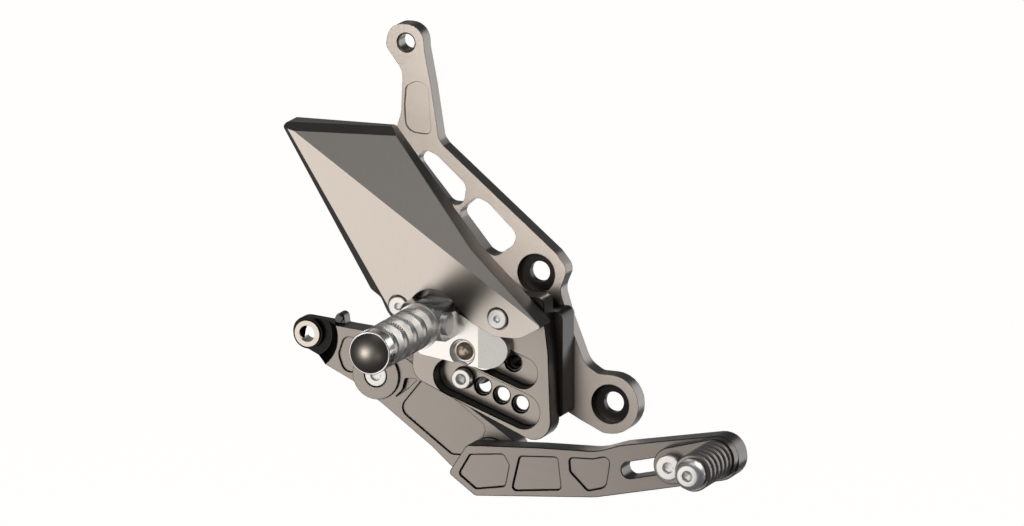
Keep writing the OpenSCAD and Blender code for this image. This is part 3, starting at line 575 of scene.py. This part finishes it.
# %% [markdown]
# ## Crisp edges on the solids
#
# A solid's edges are perfectly sharp, which no real edge is, and a sharp edge catches no light.
# The solids' meshes stay as they are, so modifiers do the work: one small geometry node tree
# merges the loose triangles and smooths what is round, Decimate makes each flat face whole again,
# and a Bevel breaks each edge by a few tenths of a millimetre. On most of the black pieces the
# broken edge gets a near black finish of painted shade. Clamping keeps a Bevel from crossing
# itself, but a single short edge then narrows all the others, so the four pieces that can do
# without it aren't clamped.

# %% The smoothing tree
MERGE_WITHIN = 2e-6
ROUND_BELOW = radians(17)


def smoothing_tree():
    """Merges doubles and shades everything smooth apart from real edges."""
    tree = bpy.data.node_groups.new("merge and smooth", "GeometryNodeTree")
    tree.interface.new_socket(name="Geometry", in_out="INPUT", socket_type="NodeSocketGeometry")
    tree.interface.new_socket(name="Geometry", in_out="OUTPUT", socket_type="NodeSocketGeometry")
    source = add(tree, "NodeGroupInput")
    merge = add(tree, "GeometryNodeMergeByDistance")
    merge.inputs["Distance"].default_value = MERGE_WITHIN
    faces = add(tree, "GeometryNodeSetShadeSmooth", domain="FACE")
    angle = add(tree, "GeometryNodeInputMeshEdgeAngle")
    round_edge = add(tree, "FunctionNodeCompare", data_type="FLOAT", operation="LESS_THAN")
    round_edge.inputs["B"].default_value = ROUND_BELOW
    edge_shade = add(tree, "GeometryNodeSetShadeSmooth", domain="EDGE")
    target = add(tree, "NodeGroupOutput")
    tree.links.new(source.outputs[0], merge.inputs["Geometry"])
    tree.links.new(merge.outputs[0], faces.inputs["Geometry"])
    tree.links.new(faces.outputs[0], edge_shade.inputs["Geometry"])
    tree.links.new(angle.outputs["Unsigned Angle"], round_edge.inputs["A"])
    tree.links.new(round_edge.outputs["Result"], edge_shade.inputs["Shade Smooth"])
    tree.links.new(edge_shade.outputs[0], target.inputs[0])
    return tree


smoothing = smoothing_tree()
print("modifier tree:", smoothing.name)

# %% [markdown]
# Now each solid gets its finish. The table gives the width of its broken edges in millimetres,
# which is nothing for the springs, the thin clip and the pivot's bush. After it come the edges'
# own finish, which is the near black of painted shade, and whether the Bevel is clamped, where they
# differ from the rest.

# %% Dress the solids
FLAT_WITHIN, BROKEN_ABOVE = radians(0.6), radians(19)


def crisp(node, material, bevel_mm, shade_edge_material=None, clamped=True):
    """Gives a solid its finish and breaks its edges, which can have a finish of their own, painted
    shade.
    """
    piece = nodes[node]
    piece.data.materials.clear()
    piece.data.materials.append(material)
    piece.modifiers.new("merge and smooth", "NODES").node_group = smoothing
    if bevel_mm:
        flats = piece.modifiers.new("whole flat faces", "DECIMATE")
        flats.decimate_type = "DISSOLVE"
        flats.angle_limit = FLAT_WITHIN
        bevel = piece.modifiers.new("broken edges", "BEVEL")
        bevel.width = bevel_mm * MM
        bevel.segments = 2
        bevel.limit_method = "ANGLE"
        bevel.angle_limit = BROKEN_ABOVE
        bevel.use_clamp_overlap = clamped
        bevel.harden_normals = True
        # The broken edges get painted shade, a near black finish.
        if shade_edge_material:
            piece.data.materials.append(shade_edge_material)
            bevel.material = 1


dress = {
    "frame_bracket": (anodised, 0.3, painted_shade_edge),
    "adjuster_plate": (anodised_plate, 0.4, painted_shade_edge, False),
    "heel_guard": (anodised_guard, 0.2),
    "lever_crank": (anodised_lever, 0.2, painted_shade_edge, False),
    "toe_arm": (anodised_lever, 0.4, painted_shade_edge, False),
    "toe_block": (anodised_lever, 0.4, painted_shade_edge, False),
    "peg_mount": (milled, 0.3), "peg_tongue": (milled, 0.2), "peg_barrel": (lathe_bright, 0.15),
    "peg_cap": (cap_black, 0.1), "toe_peg": (toe_grip, 0.1),
    "plate_screw": (plated, 0.2), "guard_screws": (plated, 0.1),
    "mount_bolt": (mount_bolt_steel, 0.25),
    "hinge_pin": (plated, 0.2), "hinge_circlip": (spring_steel, 0),
    "peg_bolt": (plated, 0.2), "peg_spring": (spring_steel, 0), "stop_sleeve": (rubber, 0.2),
    "stop_screw": (plated, 0.2), "pivot_bolt": (plated, 0.2), "pivot_bush": (bronze, 0),
    "return_spring": (spring_steel, 0), "pushrod_bush": (bronze, 0.1),
    "spring_stud": (black_steel, 0.1), "arm_screws": (plated, 0.1), "block_screw": (plated, 0.2),
    "slot_nut": (plated, 0.2), "toe_peg_screw": (plated, 0.1),
}
for node, look in dress.items():
    crisp(node, *look)
print("dressed:", len(dress), "of", len(nodes), "nodes")

# %% [markdown]
# ## Turned pieces
#
# The barrel of the foot peg, its cap and all the screws were made on a lathe, and a spin does the
# same here: half a profile is drawn as a few points, each a distance outboard of the piece's back
# and a radius, and is turned once round an axis across the bracket.

# %% Draw and turn a profile
SAME_PLACE = 1e-6


def draw(shape, axis, back, points, closed=False):
    """Joins points (distance outboard of the back, radius) into a line and returns its edges."""
    corners = [shape.verts.new((axis.x + r, back - out, axis.z)) for out, r in points]
    ends = corners[1:] + corners[:1] if closed else corners[1:]
    return [shape.edges.new(pair) for pair in zip(corners, ends)]


def turn(shape, axis, steps):
    """Spins the drawn line once round the axis, and closes its seam and its poles."""
    bmesh.ops.spin(shape, geom=shape.verts[:] + shape.edges[:], cent=axis, axis=(0, 1, 0),
                   angle=tau, steps=steps, use_merge=True)
    bmesh.ops.remove_doubles(shape, verts=shape.verts[:], dist=SAME_PLACE)
    bmesh.ops.recalc_face_normals(shape, faces=shape.faces[:])


def hand_in(shape, name, node, body, slot, *materials):
    """Makes a finished piece of the shape, which stands for a node and rides on its body."""
    piece = new_object(name, mesh_from(shape, name))
    for material in materials:
        piece.data.materials.append(material)
    piece.modifiers.new("merge and smooth", "NODES").node_group = smoothing
    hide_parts(node)
    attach(piece, body)


def span(node, axis, reach_mm):
    """The inboard and outboard ends of a solid near an axis."""
    ends = [v.co.y for v in nodes[node].data.vertices
            if hypot(v.co.x - axis.x, v.co.z - axis.z) < reach_mm * MM]
    return max(ends), min(ends)


print("turning helpers ready")

# %% [markdown]
# ### The knurled barrel
#
# The foot peg is a turned barrel with five bands. Two hard wheels pressed crossing grooves into
# four of them and left rows of small diamonds, and the band next to the cap was only polished. The
# diamonds are real geometry, because each of their sides has to catch the light by itself. The long
# edges of the bands are divided into rows before the spin.

# %% Turn the barrel
barrel_low, barrel_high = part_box("peg_barrel")
PEG_AXIS = Vector(((barrel_low[0] + barrel_high[0]) / 2, 0, (barrel_low[2] + barrel_high[2]) / 2))
BARREL_BACK, BARREL_LENGTH = barrel_high[1], barrel_high[1] - barrel_low[1]
BAND_R = (barrel_high[0] - barrel_low[0]) / 2
GROOVE_DEPTH = 1.5 * MM
GROOVE_R = BAND_R - GROOVE_DEPTH
BORE_R, SHANK_R, CAP_BORE_R = 6.05 * MM, 3.3 * MM, 7 * MM
BORE_DEPTH, CAP_BORE_DEPTH = 14.2 * MM, 8 * MM
BAND_COUNT, BAND_SHARE = 5, 0.66
BAND_PITCH = BARREL_LENGTH / BAND_COUNT
SHOULDER, CHAMFER = 0.7 * MM, 0.3 * MM
DIAMONDS, STEPS_EACH = 54, 5
DIAMOND_LENGTH = 1.24 * MM
KNURL_DEPTH = 0.30 * MM

outline = [(0, BORE_R), (0, GROOVE_R - CHAMFER), (CHAMFER, GROOVE_R)]
for i in range(BAND_COUNT):
    start, end = (i + 1 - BAND_SHARE) * BAND_PITCH, (i + 1) * BAND_PITCH
    outline += [(start, GROOVE_R), (start, BAND_R - SHOULDER), (start + SHOULDER, BAND_R)]
    if i < BAND_COUNT - 1:
        outline += [(end - SHOULDER, BAND_R), (end, BAND_R - SHOULDER), (end, GROOVE_R)]
outline += [(BARREL_LENGTH - CHAMFER, BAND_R), (BARREL_LENGTH, BAND_R - CHAMFER),
            (BARREL_LENGTH, CAP_BORE_R), (BARREL_LENGTH - CAP_BORE_DEPTH, CAP_BORE_R),
            (BARREL_LENGTH - CAP_BORE_DEPTH, SHANK_R), (BORE_DEPTH, SHANK_R),
            (BORE_DEPTH, BORE_R)]
turned_barrel = bmesh.new()
for edge in draw(turned_barrel, PEG_AXIS, BARREL_BACK, outline, closed=True):
    if all(abs(v.co.x - PEG_AXIS.x - BAND_R) < SAME_PLACE for v in edge.verts):
        rows = round(edge.calc_length() / (DIAMOND_LENGTH / STEPS_EACH))
        bmesh.ops.subdivide_edges(turned_barrel, edges=[edge], cuts=rows - 1)
turn(turned_barrel, PEG_AXIS, DIAMONDS * STEPS_EACH)
print("barrel:", len(turned_barrel.faces), "faces")

# %% [markdown]
# Each groove of the knurl is a line where the sum, or the difference, of the turn and the distance
# along the barrel is whole. How near a point is to such a line gives its depth, so both sets of
# grooves come from one rule. The pressed faces get the duller of the barrel's two finishes.

# %% Press the knurl


def nearness(value):
    """One on a whole number, and zero half way between two."""
    return abs(value % 1 - 0.5) * 2


def knurl(shape, last_band):
    """Presses the grooves into the bands up to a number, and gives them the second finish."""
    pressed = set()
    for vert in shape.verts:
        arm = Vector((vert.co.x - PEG_AXIS.x, 0, vert.co.z - PEG_AXIS.z))
        out = BARREL_BACK - vert.co.y
        if abs(arm.length - BAND_R) > SAME_PLACE or out > last_band * BAND_PITCH:
            continue
        around = atan2(arm.z, arm.x) / tau * DIAMONDS
        along = out / DIAMOND_LENGTH
        groove = max(nearness(around + along), nearness(around - along))
        vert.co -= arm.normalized() * KNURL_DEPTH * groove
        pressed.add(vert)
    for face in shape.faces:
        face.material_index = int(pressed.issuperset(face.verts))


knurl(turned_barrel, BAND_COUNT - 1)
hand_in(turned_barrel, "knurled_barrel", "peg_barrel", "foot_peg", "silver_aluminium",
        lathe_bright, knurled)
print("knurl:", DIAMONDS, "diamonds round the barrel")

# %% [markdown]
# ### The cap
#
# The cap is a low black dome that leaves a bright ring of the barrel's end in view. Its front is a
# part of a sphere, so that the light draws one soft spot on it.

# %% Turn the cap
cap_low, cap_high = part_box("peg_cap")
CAP_BACK, CAP_LENGTH = cap_high[1], cap_high[1] - cap_low[1]
CAP_R = (cap_high[0] - cap_low[0]) / 2
SPIGOT_R, SPIGOT_LENGTH, RIM_HEIGHT = 6.9 * MM, 1.6 * MM, 0.6 * MM
dome_height = CAP_LENGTH - SPIGOT_LENGTH - RIM_HEIGHT
dome_r = (CAP_R ** 2 + dome_height ** 2) / (2 * dome_height)
DOME_ROWS, CAP_STEPS = 14, 96
outline = [(0, 0), (0, SPIGOT_R), (SPIGOT_LENGTH, SPIGOT_R), (SPIGOT_LENGTH, CAP_R)]
for i in range(DOME_ROWS + 1):
    r = CAP_R * (1 - i / DOME_ROWS)
    outline.append((CAP_LENGTH - dome_r + (dome_r ** 2 - r ** 2) ** 0.5, r))
turned_cap = bmesh.new()
draw(turned_cap, PEG_AXIS, CAP_BACK, outline)
turn(turned_cap, PEG_AXIS, CAP_STEPS)
hand_in(turned_cap, "domed_cap", "peg_cap", "foot_peg", "black_plastic", cap_black)
print("cap: sphere of", round(dome_r / MM, 1), "mm")

# %% [markdown]
# ### Screws
#
# A screw's head has a rounded rim, a flat top and a hexagon socket with a small chamfer at its
# mouth. The rim and the top come from the profile. The socket is turned round at first, and then
# each of its points moves out to the side of a hexagon, which lies furthest out at the corners.

# %% Turn the screws
SCREW_STEPS, RIM_ROWS = 72, 6
END_CHAMFER, HEAD_CHAMFER, SOCKET_CHAMFER = 0.4, 0.15, 0.35
SOCKET_DEPTH, SOCKET_TIP_DEPTH = 0.6, 0.75
ON_THE_SOCKET = 2e-5
ROUND_THE_HEAD = 0.2


def screw(name, node, body, slot, places, shank_r, head_r, head_h, rounding, flat_r, socket):
    """Screws with a hexagon socket at places (x, z). Lengths are in mm, the socket's across its
    flats, and the socket's depths are shares of the head's height."""
    shape = bmesh.new()
    for x, z in places:
        axis = Vector((x * MM, 0, z * MM))
        back, front = span(node, axis, head_r + ROUND_THE_HEAD)
        length = (back - front) / MM
        one = bmesh.new()
        seat = length - head_h
        line = [(0, 0), (0, shank_r - END_CHAMFER), (END_CHAMFER, shank_r), (seat, shank_r),
                (seat, head_r - HEAD_CHAMFER), (seat + HEAD_CHAMFER, head_r)]
        for k in range(RIM_ROWS + 1):
            t = k / RIM_ROWS * pi / 2
            line.append((length - rounding * (1 - sin(t)), flat_r + (head_r - flat_r) * cos(t)))
        line += [(length, socket / 2 + SOCKET_CHAMFER), (length - SOCKET_CHAMFER, socket / 2),
                 (length - head_h * SOCKET_DEPTH, socket / 2),
                 (length - head_h * SOCKET_TIP_DEPTH, 0)]
        draw(one, axis, back, [(out * MM, r * MM) for out, r in line])
        turn(one, axis, SCREW_STEPS)
        make_hexagon(one, axis, socket / 2 * MM)
        part = mesh_from(one, name)
        shape.from_mesh(part)
        bpy.data.meshes.remove(part)
    hand_in(shape, name, node, body, slot, plated)


def make_hexagon(shape, axis, apothem):
    """Moves the points of a round socket out to the sides of a hexagon."""
    side = tau / 6
    for vert in shape.verts:
        arm = Vector((vert.co.x - axis.x, 0, vert.co.z - axis.z))
        if abs(arm.length - apothem) < ON_THE_SOCKET:
            turn_in_side = (atan2(arm.z, arm.x) + side / 2) % side - side / 2
            vert.co += arm.normalized() * apothem * (1 / cos(turn_in_side) - 1)


screw("guard_button_screws", "guard_screws", "root", "polished_steel",
      [(-42.6, 48.3), (-97.0, 48.7)],
      shank_r=2.95, head_r=5.25, head_h=2.9, rounding=1.5, flat_r=4.3, socket=3.0)
screw("plate_cap_screw", "plate_screw", "root", "polished_steel", [(-69.1, 11.7)],
      shank_r=2.95, head_r=5.0, head_h=6.0, rounding=0.6, flat_r=4.4, socket=5.0)
screw("pivot_shoulder_bolt", "pivot_bolt", "root", "polished_steel", [(-118.3, 7.2)],
      shank_r=4.5, head_r=5.7, head_h=3.0, rounding=0.5, flat_r=5.2, socket=5.0)
screw("block_cap_screw", "block_screw", "brake_lever", "polished_steel", [(44.43, -19.71)],
      shank_r=3.95, head_r=6.3, head_h=4.2, rounding=0.6, flat_r=5.6, socket=5.0)
screw("toe_dome_screw", "toe_peg_screw", "brake_lever", "polished_steel", [TOE_PEG],
      shank_r=3.95, head_r=7.6, head_h=5.2, rounding=4.4, flat_r=4.2, socket=5.0)
print("screws: turned with", SCREW_STEPS, "steps")

# %% [markdown]
# ### The clevis bolt
#
# The bolt that holds the clevis shows no socket, but a smooth dome with a straw tint on a bright
# flange. It is one turned profile with two finishes: the dome's faces are those nearest the axis.

# %% Turn the clevis bolt
CLEVIS_BOLT = Vector((-62.94 * MM, 0, 28.61 * MM))
BOLT_R, FLANGE_R, DOME_R = 3.95 * MM, 5.6 * MM, 4.5 * MM
HEAD_HEIGHT, FLANGE_HEIGHT = 4.4 * MM, 1.3 * MM
BOLT_DOME_ROWS, SPAN_REACH_MM = 8, 6
bolt_back, bolt_front = span("mount_bolt", CLEVIS_BOLT, SPAN_REACH_MM)
bolt_length = bolt_back - bolt_front
seat = bolt_length - HEAD_HEIGHT
outline = [(0, 0), (0, BOLT_R), (seat, BOLT_R), (seat, FLANGE_R),
           (seat + FLANGE_HEIGHT - CHAMFER, FLANGE_R), (seat + FLANGE_HEIGHT, FLANGE_R - CHAMFER),
           (seat + FLANGE_HEIGHT, DOME_R)]
for k in range(1, BOLT_DOME_ROWS + 1):
    t = k / BOLT_DOME_ROWS * pi / 2
    outline.append((seat + FLANGE_HEIGHT + (HEAD_HEIGHT - FLANGE_HEIGHT) * sin(t),
                    DOME_R * cos(t)))
turned_bolt = bmesh.new()
draw(turned_bolt, CLEVIS_BOLT, bolt_back, outline)
turn(turned_bolt, CLEVIS_BOLT, SCREW_STEPS)
for face in turned_bolt.faces:
    centre = face.calc_center_median()
    on_dome = hypot(centre.x - CLEVIS_BOLT.x, centre.z - CLEVIS_BOLT.z) < DOME_R
    face.material_index = 1 if on_dome and centre.y < bolt_back - seat else 0
hand_in(turned_bolt, "clevis_dome_bolt", "mount_bolt", "root", "polished_steel", plated,
        mount_bolt_steel)
print("clevis bolt:", round(bolt_length / MM, 1), "mm long")

# %% [markdown]
# ## Who gets which light
#
# Black metal needs a far brighter card than silver to look grey, so the key would bleach the
# silver pieces: they get a weaker one from the same side. The bracket lies in the shade of the
# guard, so it has two cards of its own, and the guard casts no shadow in their light. The cap's
# spot draws the soft highlight on its dome. The card over the shoulder is for the silver pieces
# and the toe peg, and the guard and the plate stay dark on the side that turns to the right.

# %% Share out the light


def choose(name, pieces, state):
    """A collection that names only these pieces (INCLUDE), or all but these (EXCLUDE)."""
    chosen = bpy.data.collections.new(name)
    for piece in pieces:
        chosen.objects.link(piece)
    for entry in chosen.collection_objects:
        entry.light_linking.link_state = state
    return chosen


def share(light, name, pieces, state):
    """Lets a light reach only the chosen pieces."""
    light.light_linking.receiver_collection = choose(name, pieces, state)


SILVER = (milled, lathe_bright, plated, mount_bolt_steel, bronze)
silver_pieces = [o for o in bpy.data.objects
                 if o.type == "MESH" and o.data.materials and o.data.materials[0] in SILVER]
bracket = nodes["frame_bracket"]
cap = bpy.data.objects["domed_cap"]
share(key, "not under the key", silver_pieces + [bracket, cap], "EXCLUDE")
share(bracket_near, "under the bracket's near card", [bracket], "INCLUDE")
share(bracket_high, "under the bracket's high card", [bracket], "INCLUDE")
share(cap_spot, "under the spot", [cap], "INCLUDE")
share(silver_key, "under the silver card", silver_pieces, "INCLUDE")
share(silver_front, "under the silver front card", silver_pieces, "INCLUDE")
share(right_front, "not under the right front card", silver_pieces, "EXCLUDE")
share(over_the_shoulder, "lit over the shoulder", silver_pieces + [nodes["toe_peg"]], "INCLUDE")
share(back_right, "dark on the right", [nodes["heel_guard"], nodes["adjuster_plate"]],
      "EXCLUDE")
for light in (bracket_near, bracket_high):
    light.light_linking.blocker_collection = choose("lets light by", [nodes["heel_guard"]],
                                                    "EXCLUDE")
print("silver pieces:", len(silver_pieces))
